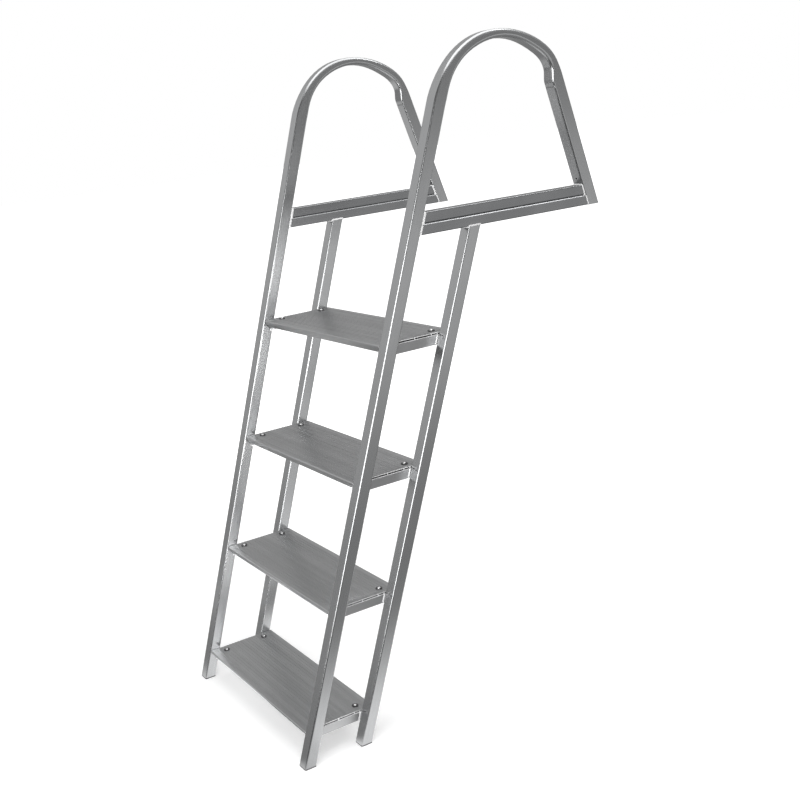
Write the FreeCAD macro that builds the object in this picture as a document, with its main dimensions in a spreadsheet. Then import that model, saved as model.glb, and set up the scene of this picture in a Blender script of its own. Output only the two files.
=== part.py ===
"""Four-step aluminium dock ladder with two hoop handrails.

The origin is on the underside of the right-hand dock rail, in the middle of the length that
lies on the dock. X runs from side to side, Y runs from the water towards the dock, Z is up.
The frames lean towards the dock, and the treads and dock rails are level.
"""
import FreeCAD, Part

import math
import os

import Sketcher

SIZES = (
    ("frame_width", 609.6, "outside to outside of the two side frames"),
    ("frame_depth", 203.2, "level distance from the front face to the rear face of the stiles"),
    ("lean", 18.0, "degrees that the stiles lean from upright"),
    ("dock_height", 1225.0, "dock surface above the feet"),
    ("tube_side", 31.75, "side of the square tube"),
    ("tube_wall", 1.65, "wall of the square tube"),
    ("tube_corner", 4.0, "outer corner radius of the square tube"),
    ("hoop_rise", 400.0, "top of the round of the hoop above the dock surface"),
    ("hoop_radius", 180.0, "bend radius of the hoop to the middle of the tube"),
    ("rear_leg_angle", 22.0, "degrees that the rear leg of the hoop leans from upright"),
    ("bend_depth", 23.0, "depth of the tube, towards the hoop's centre, where the bend flattens it"),
    ("bend_corner", 6.5, "outer corner radius of the tube in the flattened bend"),
    ("crown_sink", 5.5, "how far the outer wall sinks in the middle of the flattened bend"),
    ("shoulder_swell", 5.5, "how far the rear shoulder of the hoop stands out from its round"),
    ("shoulder_span", 42.0, "degrees of the bend over which the rear shoulder stands out"),
    ("front_ease", 34.0, "degrees of the bend over which the front of the tube is flattened"),
    ("rear_ease", 11.0, "degrees of the bend over which the rear of the tube is full again"),
    ("rear_full", 4.0, "degrees of full tube between the flattened bend and the rear leg"),
    ("vent_hole", 4.0, "diameter of the vent hole in the rear leg"),
    ("vent_height", 62.0, "vent hole above the dock surface"),
    ("rail_height", 47.6, "height of the dock rail"),
    ("rail_width", 30.0, "thickness of the dock rail from side to side"),
    ("rail_corner", 2.5, "outer corner radius of the dock rail"),
    ("rail_wall", 2.2, "wall of the dock rail"),
    ("rail_groove_width", 5.2, "mouth of the V groove along the dock rail"),
    ("rail_groove_depth", 2.2, "depth of the V groove along the dock rail"),
    ("weld_gap", 0.2, "gap between a cut tube end and the face that it is welded to"),
    ("step_spacing", 304.8, "top of one tread to the top of the next"),
    ("first_step", 84.5, "top of the lowest tread above the feet"),
    ("tread_thickness", 6.8, "top to underside of the hollow tread plank"),
    ("tread_plate", 2.2, "thickness of the top plate of the tread"),
    ("tread_floor", 1.4, "thickness of the bottom plate of the tread"),
    ("tread_web", 2.4, "thickness of the webs inside the tread"),
    ("tread_end_gap", 1.5, "end of the tread to the inner face of the stile"),
    ("tread_front_overhang", 2.0, "front of the tread, before its edge is rounded, proud of the stiles"),
    ("tread_rear_overhang", 0.5, "rear of the tread proud of the stiles"),
    ("nose_drop", 18.5, "height of the nosing at the front of the tread"),
    ("nose_slope", 30.5, "degrees that the nosing slopes back from upright"),
    ("nose_thickness", 2.4, "level thickness of the nosing"),
    ("nose_round", 3.0, "radius of the front edge of the tread"),
    ("bolt_channel", 48.0, "middle of the tread to the nearer web of a bolt channel"),
    ("bolt_channel_width", 17.0, "between the two webs of a bolt channel"),
    ("rib_pitch", 9.0, "distance between the grip grooves of the tread"),
    ("rib_groove_width", 3.0, "width of a grip groove"),
    ("rib_groove_depth", 0.6, "depth of a grip groove"),
    ("support_leg", 22.0, "upright leg of the angle bar under a tread end"),
    ("support_seat", 38.1, "level leg of the angle bar, on which the tread lies"),
    ("support_wall", 3.2, "thickness of the angle bar"),
    ("support_front_gap", 1.0, "level gap between the nosing and the mitred end of the angle bar"),
    ("support_rear_margin", 8.0, "rear end of the angle bar to the rear face of the stile"),
    ("plug_lip", 3.0, "thickness of the foot plug below the tube"),
    ("plug_depth", 22.0, "length of the foot plug inside the tube"),
    ("plug_clearance", 0.3, "foot plug to the inner wall of the tube"),
)
RIB_GROOVES = 20
TREADS = 4
CUT_MARGIN = 15.0
EASE_STEPS = 3
EVEN_STEPS = 5
SKIN_FACETS = 6
HOLLOW_FACETS = 1

HALF_TUBE = "(Sizes.tube_side / 2)"
INNER_SIDE = "(Sizes.tube_side - 2 * Sizes.tube_wall)"
HOOP_CENTRE_HEIGHT = f"(Sizes.hoop_rise - {HALF_TUBE} - Sizes.hoop_radius)"
HOOP_CENTRE_DEPTH = (
    f"({HOOP_CENTRE_HEIGHT} * tan(Sizes.lean) + ({HALF_TUBE} + Sizes.hoop_radius) / cos(Sizes.lean))"
)
REAR_LEG_INSIDE = (
    f"({HOOP_CENTRE_DEPTH} + {HOOP_CENTRE_HEIGHT} * tan(Sizes.rear_leg_angle)"
    f" + (Sizes.hoop_radius - {HALF_TUBE}) / cos(Sizes.rear_leg_angle))"
)
FRONT_FACE = f"(-({REAR_LEG_INSIDE} + Sizes.frame_depth) / 2)"
REAR_FACE = f"({FRONT_FACE} + Sizes.frame_depth)"
FRAME_SPREAD = "(Sizes.frame_width - Sizes.tube_side)"
FOOT_LEVEL = "(-Sizes.dock_height)"

doc = FreeCAD.newDocument("dock_ladder")
sheet = doc.addObject("Spreadsheet::Sheet", "Sizes")
for row, (alias, value, meaning) in enumerate(SIZES, start=1):
    sheet.set(f"A{row}", alias)
    sheet.set(f"B{row}", str(value))
    sheet.set(f"C{row}", meaning)
    sheet.setAlias(f"B{row}", alias)
doc.recompute()

nodes = []


def number(expression):
    """The present value of an expression in millimetres or degrees."""
    value = sheet.evalExpression(expression)
    return float(getattr(value, "Value", value))


def new_body(label, across="0", along="0", up="0"):
    """A body whose own origin stands at the given place of the ladder."""
    body = doc.addObject("PartDesign::Body", label)
    body.Label = label
    body.setExpression("Placement.Base.x", across)
    body.setExpression("Placement.Base.y", along)
    body.setExpression("Placement.Base.z", up)
    nodes.append(body)
    return body


def new_sketch(body, name, role, offset="0", tilt="0"):
    """A sketch on an origin plane of its own body, moved along or tilted on that plane."""
    plane = next(item for item in body.Origin.OriginFeatures if item.Role == role)
    sketch = body.newObject("Sketcher::SketchObject", f"{body.Name}_{name}")
    sketch.AttachmentSupport = [(plane, "")]
    sketch.MapMode = "FlatFace"
    sketch.AttachmentOffset = FreeCAD.Placement(
        FreeCAD.Vector(0, 0, number(offset)), FreeCAD.Rotation(FreeCAD.Vector(1, 0, 0), number(tilt))
    )
    sketch.setExpression("AttachmentOffset.Base.z", offset)
    if tilt != "0":
        sketch.setExpression("AttachmentOffset.Rotation.Angle", tilt)
    return sketch


def drive(sketch, constraint, expression):
    """Adds a constraint whose size follows an expression."""
    index = sketch.addConstraint(constraint)
    sketch.setExpression(f"Constraints[{index}]", expression)


def pin(sketch, edge, end, across, up):
    """Holds one end of an edge at two driven distances from the sketch's origin."""
    drive(sketch, Sketcher.Constraint("DistanceX", -1, 1, edge, end, number(across)), across)
    drive(sketch, Sketcher.Constraint("DistanceY", -1, 1, edge, end, number(up)), up)


def polygon(sketch, corners):
    """A closed outline whose corners are pairs of expressions."""
    places = [FreeCAD.Vector(number(across), number(up), 0) for across, up in corners]
    first = sketch.GeometryCount
    count = len(places)
    for index, place in enumerate(places):
        sketch.addGeometry(Part.LineSegment(place, places[(index + 1) % count]), False)
    for index in range(count):
        following = first + (index + 1) % count
        sketch.addConstraint(Sketcher.Constraint("Coincident", first + index, 2, following, 1))
    for index, (across, up) in enumerate(corners):
        pin(sketch, first + index, 1, across, up)


def rectangle(sketch, left, right, low, high):
    """A rectangle between four driven distances from the sketch's origin."""
    polygon(sketch, ((left, low), (right, low), (right, high), (left, high)))


def rounded_box(sketch, half_width, low, high, radius):
    """A box with round corners, as wide to the left as to the right of the sketch's origin."""
    side = number(half_width)
    bend = number(radius)
    bottom = number(low)
    top = number(high)
    first = sketch.GeometryCount
    ends = (
        ((bend - side, bottom), (side - bend, bottom)),
        ((side, bottom + bend), (side, top - bend)),
        ((side - bend, top), (bend - side, top)),
        ((-side, top - bend), (-side, bottom + bend)),
    )
    centres = (
        (side - bend, bottom + bend),
        (side - bend, top - bend),
        (bend - side, top - bend),
        (bend - side, bottom + bend),
    )
    for index, (start, stop) in enumerate(ends):
        sketch.addGeometry(Part.LineSegment(FreeCAD.Vector(*start, 0), FreeCAD.Vector(*stop, 0)), False)
        corner = Part.Circle(FreeCAD.Vector(*centres[index], 0), FreeCAD.Vector(0, 0, 1), bend)
        turn = math.pi / 2
        sketch.addGeometry(Part.ArcOfCircle(corner, (index - 1) * turn, index * turn), False)
    for index in range(4):
        line = first + 2 * index
        arc = line + 1
        after = first + (2 * index + 2) % 8
        sketch.addConstraint(Sketcher.Constraint("Tangent", line, 2, arc, 1))
        sketch.addConstraint(Sketcher.Constraint("Tangent", arc, 2, after, 1))
        sketch.addConstraint(Sketcher.Constraint("Horizontal" if index % 2 == 0 else "Vertical", line))
        if index:
            sketch.addConstraint(Sketcher.Constraint("Equal", first + 1, arc))
    drive(sketch, Sketcher.Constraint("Radius", first + 1, bend), radius)
    drive(sketch, Sketcher.Constraint("DistanceY", -1, 1, first, 1, bottom), low)
    drive(sketch, Sketcher.Constraint("DistanceX", -1, 1, first + 2, 1, side), half_width)
    drive(sketch, Sketcher.Constraint("DistanceY", -1, 1, first + 4, 1, top), high)
    drive(sketch, Sketcher.Constraint("DistanceX", -1, 1, first + 6, 1, -side), f"-{half_width}")


def faceted_box(sketch, half_width, low, high, radius, facets):
    """A box whose round corners are drawn as short flats, which loft into plain strips."""
    corners = []
    for corner in range(4):
        middle = f"({half_width} - {radius})" if corner in (0, 3) else f"({radius} - {half_width})"
        level = f"({high} - {radius})" if corner < 2 else f"({low} + {radius})"
        for step in range(facets + 1):
            turn = math.radians(90 * (corner + step / facets))
            corners.append((
                f"{middle} + {radius} * {math.cos(turn):.9f}",
                f"{level} + {radius} * {math.sin(turn):.9f}",
            ))
    polygon(sketch, corners)


def tube_profile(sketch, middle="0"):
    """The hollow section of a straight tube whose middle lies at a height of the sketch."""
    inner = f"({INNER_SIDE} / 2)"
    rounded_box(
        sketch, HALF_TUBE, f"{middle} - {HALF_TUBE}", f"{middle} + {HALF_TUBE}", "Sizes.tube_corner"
    )
    rounded_box(
        sketch, inner, f"{middle} - {inner}", f"{middle} + {inner}", "Sizes.tube_corner - Sizes.tube_wall"
    )


def cut_level(body, name, height, low_side, along_from, along_to):
    """Cuts a tube level at a height, on the low or the high side, between two places along Y."""
    sketch = new_sketch(body, name, "XY_Plane", offset=height)
    rectangle(sketch, "-Sizes.tube_side", "Sizes.tube_side", along_from, along_to)
    cut = body.newObject("PartDesign::Pocket", f"{body.Name}_{name}_cut")
    cut.Profile = sketch
    cut.Type = "ThroughAll"
    cut.Reversed = not low_side
    return cut


def bend_stations():
    """Stations of the bend, front to rear: angle about the hoop's centre, flattening and sink.

    The flattening and the sink of the outer wall are shares from 0 to 1 of their full sizes.
    """
    start = "(180 - Sizes.lean)"
    flat_from = f"({start} - Sizes.front_ease)"
    full_from = "(Sizes.rear_leg_angle + Sizes.rear_full)"
    flat_to = f"({full_from} + Sizes.rear_ease)"
    stations = []
    for step in range(EASE_STEPS):
        share = step / EASE_STEPS
        flat = (1 - math.cos(math.pi * share)) / 2
        stations.append((f"({start} - Sizes.front_ease * {share})", flat, 0.0))
    for step in range(EVEN_STEPS):
        share = step / EVEN_STEPS
        sink = math.sin(math.pi * share) ** 2
        stations.append((f"({flat_from} + ({flat_to} - {flat_from}) * {share})", 1.0, sink))
    for step in range(EASE_STEPS):
        share = step / EASE_STEPS
        flat = (1 + math.cos(math.pi * share)) / 2
        stations.append((f"({flat_to} - Sizes.rear_ease * {share})", flat, 0.0))
    stations.append((full_from, 0.0, 0.0))
    stations.append(("Sizes.rear_leg_angle", 0.0, 0.0))
    return stations


def swell(angle):
    """How far the rear shoulder stands out from the hoop's round at an angle of the bend."""
    turn = f"({angle} - Sizes.rear_leg_angle) / Sizes.shoulder_span"
    return f"({turn} < 1 ? Sizes.shoulder_swell * sin(180 * {turn}) ^ 2 : 0)"


def bent_section(body, name, station, inset, facets):
    """Section of the bent tube at a station, less an inset on every side."""
    angle, flat, sink = station
    sketch = new_sketch(body, name, "XY_Plane", tilt=angle)
    outside = f"(Sizes.hoop_radius + {HALF_TUBE} + {swell(angle)})"
    depth = f"(Sizes.tube_side - (Sizes.tube_side - Sizes.bend_depth) * {flat})"
    faceted_box(
        sketch,
        f"({HALF_TUBE} - {inset})",
        f"({outside} - {depth} + {inset})",
        f"({outside} - Sizes.crown_sink * {sink} - {inset})",
        f"(Sizes.tube_corner + (Sizes.bend_corner - Sizes.tube_corner) * {flat} - {inset})",
        facets,
    )
    return sketch


def bend(body):
    """The hoop's bend: a flattened skin through the stations, then its plainer hollow."""
    kinds = (("Additive", "0", SKIN_FACETS), ("Subtractive", "Sizes.tube_wall", HOLLOW_FACETS))
    for kind, inset, facets in kinds:
        sections = [
            bent_section(body, f"{kind.lower()}_bend_{index}", station, inset, facets)
            for index, station in enumerate(bend_stations())
        ]
        loft = body.newObject(f"PartDesign::{kind}Loft", f"{body.Name}_{kind.lower()}_bend")
        loft.Profile = sections[0]
        loft.Sections = sections[1:]
        loft.Refine = False
        doc.recompute()


def handrail_stile(label, across):
    """Front stile, hoop and rear leg: one tube, flattened in its bend, with both ends cut level."""
    centre_along = f"({FRONT_FACE} + {HOOP_CENTRE_DEPTH})"
    body = new_body(label, across, centre_along, HOOP_CENTRE_HEIGHT)
    foot_drop = f"(Sizes.tube_side * sin(Sizes.lean) + {CUT_MARGIN})"
    foot_up = f"({FOOT_LEVEL} - {HOOP_CENTRE_HEIGHT})"
    stile_run = f"((Sizes.hoop_radius * sin(Sizes.lean) - {foot_up} + {foot_drop}) / cos(Sizes.lean))"
    leg_drop = f"(Sizes.tube_side * sin(Sizes.rear_leg_angle) + {CUT_MARGIN})"
    leg_rise = f"(Sizes.hoop_radius * sin(Sizes.rear_leg_angle) + {HOOP_CENTRE_HEIGHT})"
    leg_run = f"(({leg_rise} + {leg_drop}) / cos(Sizes.rear_leg_angle))"
    runs = (("stile", "(180 - Sizes.lean)", False, stile_run), ("leg", "Sizes.rear_leg_angle", True, leg_run))
    for name, angle, reversed_run, length in runs:
        profile = new_sketch(body, f"{name}_profile", "XY_Plane", tilt=angle)
        tube_profile(profile, "Sizes.hoop_radius")
        run = body.newObject("PartDesign::Pad", f"{body.Name}_{name}")
        run.Profile = profile
        run.Reversed = reversed_run
        run.setExpression("Length", length)
        if name == "stile":
            doc.recompute()
            bend(body)
    doc.recompute()
    foot_along = f"({FRONT_FACE} - {centre_along} + {FOOT_LEVEL} * tan(Sizes.lean))"
    leg_foot = f"({REAR_LEG_INSIDE} + {FRONT_FACE} - {centre_along})"
    across_stile = "(2 * Sizes.tube_side / cos(Sizes.lean))"
    across_leg = "(2 * Sizes.tube_side / cos(Sizes.rear_leg_angle))"
    cut_level(
        body, "foot_end", foot_up, True, f"{foot_along} - {across_stile}", f"{foot_along} + {across_stile}"
    )
    leg_from = f"{leg_foot} - Sizes.tube_side"
    cut_level(body, "leg_end", f"-{HOOP_CENTRE_HEIGHT}", True, leg_from, f"{leg_foot} + {across_leg}")
    leg_middle = f"({leg_foot} + {HALF_TUBE} / cos(Sizes.rear_leg_angle))"
    vent = new_sketch(body, "vent", "XZ_Plane")
    vent.addGeometry(Part.Circle(FreeCAD.Vector(0, -1, 0), FreeCAD.Vector(0, 0, 1), 2), False)
    drive(vent, Sketcher.Constraint("Diameter", 0, number("Sizes.vent_hole")), "Sizes.vent_hole")
    vent.addConstraint(Sketcher.Constraint("PointOnObject", 0, 3, -2))
    vent_up = f"(Sizes.vent_height - {HOOP_CENTRE_HEIGHT})"
    drive(vent, Sketcher.Constraint("DistanceY", -1, 1, 0, 3, number(vent_up)), vent_up)
    drilled = body.newObject("PartDesign::Pocket", f"{body.Name}_vent_cut")
    drilled.Profile = vent
    drilled.Type = "Length"
    drilled.setExpression("Length", f"{leg_middle} - Sizes.vent_height * tan(Sizes.rear_leg_angle)")
    return body


def rear_stile(label, across):
    """Straight rear stile between the foot and the underside of the dock rail."""
    start_drop = f"(Sizes.tube_side * sin(Sizes.lean) + {CUT_MARGIN})"
    start_up = f"({FOOT_LEVEL} - {start_drop})"
    start_along = f"({REAR_FACE} - {HALF_TUBE} / cos(Sizes.lean) + {start_up} * tan(Sizes.lean))"
    body = new_body(label, across, start_along, start_up)
    profile = new_sketch(body, "profile", "XY_Plane", tilt="-Sizes.lean")
    tube_profile(profile)
    tube = body.newObject("PartDesign::Pad", f"{body.Name}_tube")
    tube.Profile = profile
    tube.setExpression("Length", f"({start_drop} - {start_up}) / cos(Sizes.lean)")
    doc.recompute()
    reach = f"({start_up} * -tan(Sizes.lean) + Sizes.frame_depth)"
    cut_level(body, "foot_end", start_drop, True, "-Sizes.frame_depth", reach)
    cut_level(body, "top_end", f"-{start_up}", False, "-Sizes.frame_depth", reach)
    return body


def rear_most_face(shape):
    """Name of the face that lies furthest towards the dock."""
    places = [face.CenterOfMass.y for face in shape.Faces]
    return f"Face{places.index(max(places)) + 1}"


def outer_corner_edges(shape):
    """Names of the edges that run along the four outer corners of a bar."""
    box = shape.BoundBox
    names = []
    for index, edge in enumerate(shape.Edges, start=1):
        middle = edge.CenterOfMass
        at_side = min(abs(middle.x - box.XMin), abs(middle.x - box.XMax)) < 1e-4
        at_height = min(abs(middle.z - box.ZMin), abs(middle.z - box.ZMax)) < 1e-4
        if at_side and at_height and edge.BoundBox.YLength > 1:
            names.append(f"Edge{index}")
    return names


def dock_rail(label, across):
    """Grooved box rail between the front stile and the rear leg, cut to their slopes.

    It is drawn as two stretches, the one that is welded to both stiles and the one that lies on
    the dock, so that the underside keeps the dock's own bearing face.
    """
    body = new_body(label, across, FRONT_FACE)
    section = new_sketch(body, "section", "XZ_Plane")
    half = "(Sizes.rail_width / 2)"
    middle = "(Sizes.rail_height / 2)"
    mouth_low = f"({middle} - Sizes.rail_groove_width / 2)"
    mouth_high = f"({middle} + Sizes.rail_groove_width / 2)"
    groove = f"({half} - Sizes.rail_groove_depth)"
    polygon(section, (
        (f"-{half}", "0"),
        (half, "0"),
        (half, mouth_low),
        (groove, middle),
        (half, mouth_high),
        (half, "Sizes.rail_height"),
        (f"-{half}", "Sizes.rail_height"),
        (f"-{half}", mouth_high),
        (f"-{groove}", middle),
        (f"-{half}", mouth_low),
    ))
    inside = f"({half} - Sizes.rail_wall - Sizes.rail_groove_depth)"
    wide = f"({half} - Sizes.rail_wall)"
    ridge_low = f"({mouth_low} - Sizes.rail_wall)"
    ridge_high = f"({mouth_high} + Sizes.rail_wall)"
    polygon(section, (
        (f"-{wide}", "Sizes.rail_wall"),
        (wide, "Sizes.rail_wall"),
        (wide, ridge_low),
        (inside, f"{middle} - Sizes.rail_wall / 2"),
        (inside, f"{middle} + Sizes.rail_wall / 2"),
        (wide, ridge_high),
        (wide, "Sizes.rail_height - Sizes.rail_wall"),
        (f"-{wide}", "Sizes.rail_height - Sizes.rail_wall"),
        (f"-{wide}", ridge_high),
        (f"-{inside}", f"{middle} + Sizes.rail_wall / 2"),
        (f"-{inside}", f"{middle} - Sizes.rail_wall / 2"),
        (f"-{wide}", ridge_low),
    ))
    welded = body.newObject("PartDesign::Pad", f"{body.Name}_welded")
    welded.Profile = section
    welded.Reversed = True
    welded.Refine = False
    welded.setExpression("Length", "Sizes.frame_depth")
    doc.recompute()
    seated = body.newObject("PartDesign::Pad", f"{body.Name}_seated")
    seated.Profile = (welded, [rear_most_face(welded.Shape)])
    seated.Refine = False
    seated.setExpression("Length", f"({REAR_LEG_INSIDE} - Sizes.frame_depth)")
    doc.recompute()
    corners = body.newObject("PartDesign::Fillet", f"{body.Name}_corners")
    corners.Base = (seated, outer_corner_edges(seated.Shape))
    corners.Refine = False
    corners.setExpression("Radius", "Sizes.rail_corner")
    doc.recompute()
    ends = new_sketch(body, "ends", "YZ_Plane")
    front_low = "(Sizes.tube_side / cos(Sizes.lean) + Sizes.weld_gap)"
    rear_low = f"({REAR_LEG_INSIDE} - Sizes.weld_gap)"
    over = "(2 * Sizes.rail_height)"
    under = "(-Sizes.rail_height)"
    polygon(ends, (
        ("-Sizes.rail_height", under),
        (f"{front_low} + {under} * tan(Sizes.lean)", under),
        (f"{front_low} + {over} * tan(Sizes.lean)", over),
        ("-Sizes.rail_height", over),
    ))
    polygon(ends, (
        (f"{rear_low} - {under} * tan(Sizes.rear_leg_angle)", under),
        (f"{rear_low} + Sizes.rail_height", under),
        (f"{rear_low} + Sizes.rail_height", over),
        (f"{rear_low} - {over} * tan(Sizes.rear_leg_angle)", over),
    ))
    trim = body.newObject("PartDesign::Pocket", f"{body.Name}_end_cuts")
    trim.Refine = False
    trim.Profile = ends
    trim.Type = "ThroughAll"
    trim.Midplane = True
    return body


def front_top_edge(shape):
    """Name of the long edge where the front of a tread meets its top."""
    box = shape.BoundBox
    for index, edge in enumerate(shape.Edges, start=1):
        middle = edge.CenterOfMass
        if abs(middle.y - box.YMin) < 1e-4 and abs(middle.z - box.ZMax) < 1e-4:
            return f"Edge{index}"
    raise ValueError("the tread has no front top edge")


def nose_inside(front, drop):
    """How far back the inner side of the nosing lies at a depth below the tread."""
    return f"({front} + {drop} * tan(Sizes.nose_slope) + Sizes.nose_thickness)"


def tread(label, step):
    """Hollow plank with a nosing, webs, bolt channels and grip grooves."""
    depth = "(Sizes.frame_depth + Sizes.tread_front_overhang + Sizes.tread_rear_overhang)"
    front = f"(-{depth} / 2)"
    rear = f"({depth} / 2)"
    top = step_top(step)
    along = f"({FRONT_FACE} - Sizes.tread_front_overhang + {top} * tan(Sizes.lean) + {depth} / 2)"
    body = new_body(label, f"-{FRAME_SPREAD} / 2", along, top)
    outline = new_sketch(body, "outline", "YZ_Plane")
    polygon(outline, (
        (front, "0"),
        (rear, "0"),
        (rear, "-Sizes.tread_thickness"),
        (nose_inside(front, "Sizes.tread_thickness"), "-Sizes.tread_thickness"),
        (nose_inside(front, "Sizes.nose_drop"), "-Sizes.nose_drop"),
        (f"{front} + Sizes.nose_drop * tan(Sizes.nose_slope)", "-Sizes.nose_drop"),
    ))
    plank = body.newObject("PartDesign::Pad", f"{body.Name}_plank")
    plank.Profile = outline
    plank.Midplane = True
    plank.setExpression(
        "Length", f"{FRAME_SPREAD} - Sizes.tube_side - 2 * Sizes.tread_end_gap"
    )
    doc.recompute()
    edge_round = body.newObject("PartDesign::Fillet", f"{body.Name}_front_round")
    edge_round.Base = (plank, [front_top_edge(plank.Shape)])
    edge_round.setExpression("Radius", "Sizes.nose_round")
    doc.recompute()
    cells = new_sketch(body, "cells", "YZ_Plane")
    low = "(Sizes.tread_floor - Sizes.tread_thickness)"
    high = "(-Sizes.tread_plate)"
    half_web = "(Sizes.tread_web / 2)"
    near = "Sizes.bolt_channel"
    far = "(Sizes.bolt_channel + Sizes.bolt_channel_width)"
    front_wall = nose_inside(front, "Sizes.tread_thickness")
    walls = (
        (front_wall, f"-{far} - {half_web}"),
        (f"-{far} + {half_web}", f"-{near} - {half_web}"),
        (f"-{near} + {half_web}", f"-{half_web}"),
        (half_web, f"{near} - {half_web}"),
        (f"{near} + {half_web}", f"{far} - {half_web}"),
        (f"{far} + {half_web}", f"{rear} - Sizes.tread_web"),
    )
    for left, right in walls:
        rectangle(cells, left, right, low, high)
    hollow = body.newObject("PartDesign::Pocket", f"{body.Name}_cells_cut")
    hollow.Profile = cells
    hollow.Type = "ThroughAll"
    hollow.Midplane = True
    doc.recompute()
    groove = new_sketch(body, "groove", "YZ_Plane")
    first = f"(-Sizes.rib_pitch * {RIB_GROOVES - 1} / 2)"
    rectangle(
        groove,
        f"{first} - Sizes.rib_groove_width / 2",
        f"{first} + Sizes.rib_groove_width / 2",
        "-Sizes.rib_groove_depth",
        "Sizes.rib_groove_depth",
    )
    cut = body.newObject("PartDesign::Pocket", f"{body.Name}_groove_cut")
    cut.Profile = groove
    cut.Type = "ThroughAll"
    cut.Midplane = True
    doc.recompute()
    grip = body.newObject("PartDesign::LinearPattern", f"{body.Name}_grip")
    grip.Originals = [cut]
    grip.Direction = (groove, ["H_Axis"])
    grip.Occurrences = RIB_GROOVES
    grip.setExpression("Length", f"Sizes.rib_pitch * {RIB_GROOVES - 1}")
    body.Tip = grip
    return body


def step_top(step):
    """Height of the top of a tread, counted from the lowest."""
    return f"({FOOT_LEVEL} + Sizes.first_step + {step} * Sizes.step_spacing)"


def tread_support(label, step, side):
    """Angle bar along both stiles, with its front end mitred beside the nosing."""
    top = f"({step_top(step)} - Sizes.tread_thickness)"
    along = f"({FRONT_FACE} + {step_top(step)} * tan(Sizes.lean))"
    across = "(-Sizes.tube_side / 2)" if side > 0 else f"(-{FRAME_SPREAD} + Sizes.tube_side / 2)"
    body = new_body(label, across, along, top)
    section = new_sketch(body, "section", "XZ_Plane")
    inward = "-1" if side > 0 else "1"
    polygon(section, (
        ("0", "0"),
        (f"{inward} * Sizes.support_seat", "0"),
        (f"{inward} * Sizes.support_seat", "-Sizes.support_wall"),
        (f"{inward} * Sizes.support_wall", "-Sizes.support_wall"),
        (f"{inward} * Sizes.support_wall", "-Sizes.support_leg"),
        ("0", "-Sizes.support_leg"),
    ))
    bar = body.newObject("PartDesign::Pad", f"{body.Name}_bar")
    bar.Profile = section
    bar.Reversed = True
    low = "(Sizes.tread_thickness + Sizes.support_leg)"
    bar.setExpression(
        "Length", f"Sizes.frame_depth - {low} * tan(Sizes.lean) - Sizes.support_rear_margin"
    )
    doc.recompute()
    mitre = new_sketch(body, "mitre", "YZ_Plane")
    gap = "Sizes.support_front_gap - Sizes.tread_front_overhang"
    over = "(Sizes.tread_thickness - Sizes.support_wall)"
    under = f"({low} + Sizes.support_wall)"
    polygon(mitre, (
        ("-Sizes.support_leg", "Sizes.support_wall"),
        (f"{nose_inside(gap, over)}", "Sizes.support_wall"),
        (f"{nose_inside(gap, under)}", "-Sizes.support_leg - Sizes.support_wall"),
        ("-Sizes.support_leg", "-Sizes.support_leg - Sizes.support_wall"),
    ))
    cut = body.newObject("PartDesign::Pocket", f"{body.Name}_mitre_cut")
    cut.Profile = mitre
    cut.Type = "ThroughAll"
    cut.Midplane = True
    return body


def foot_plug(label, across, face):
    """Plug with a level lip under the tube end and a stem that leans inside the tube."""
    along = f"({face} + {FOOT_LEVEL} * tan(Sizes.lean))"
    body = new_body(label, across, along, FOOT_LEVEL)
    base = new_sketch(body, "base", "XY_Plane")
    reach = f"({HALF_TUBE} / cos(Sizes.lean))"
    rounded_box(base, HALF_TUBE, f"-{reach}", reach, "Sizes.tube_corner")
    lip = body.newObject("PartDesign::Pad", f"{body.Name}_lip")
    lip.Profile = base
    lip.Reversed = True
    lip.setExpression("Length", "Sizes.plug_lip")
    doc.recompute()
    inner = new_sketch(body, "stem", "XY_Plane")
    side = f"({INNER_SIDE} / 2 - Sizes.plug_clearance)"
    reach = f"({side} / cos(Sizes.lean))"
    corner = "(Sizes.tube_corner - Sizes.tube_wall)"
    faceted_box(inner, side, f"(-{reach})", reach, corner, HOLLOW_FACETS)
    stem = body.newObject("PartDesign::Pad", f"{body.Name}_stem")
    stem.Profile = inner
    stem.UseCustomVector = True
    stem.AlongSketchNormal = True
    stem.Direction = FreeCAD.Vector(0, number("sin(Sizes.lean)"), number("cos(Sizes.lean)"))
    stem.setExpression("Direction.y", "sin(Sizes.lean)")
    stem.setExpression("Direction.z", "cos(Sizes.lean)")
    stem.setExpression("Length", "Sizes.plug_depth")
    return body


for side_name, sign, across in (("right", 1, "0"), ("left", -1, f"-{FRAME_SPREAD}")):
    handrail_stile(f"handrail_stile_{side_name}", across)
    rear_stile(f"rear_stile_{side_name}", across)
    dock_rail(f"dock_rail_{side_name}", across)
    foot_plug(f"foot_plug_front_{side_name}", across, f"({FRONT_FACE} + {HALF_TUBE} / cos(Sizes.lean))")
    foot_plug(f"foot_plug_rear_{side_name}", across, f"({REAR_FACE} - {HALF_TUBE} / cos(Sizes.lean))")
    for number_of_step in range(TREADS):
        tread_support(f"tread_support_{side_name}_{number_of_step + 1}", number_of_step, sign)
for number_of_step in range(TREADS):
    tread(f"tread_{number_of_step + 1}", number_of_step)
doc.recompute()

faults = [item.Label for item in doc.Objects if {"Invalid", "Error"} & set(item.State)]
faults += [body.Label for body in nodes if body.Shape.isNull() or not body.Shape.isValid()]
faults += [body.Label for body in nodes if len(body.Shape.Solids) != 1]
if faults:
    raise SystemExit("these pieces failed: " + ", ".join(sorted(set(faults))))

os.makedirs("parts", exist_ok=True)
for body in nodes:
    body.Shape.exportStep(f"parts/{body.Label}.step")
    print(f"{body.Label}: {body.Shape.Volume / 1000:.1f} cm3")
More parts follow.
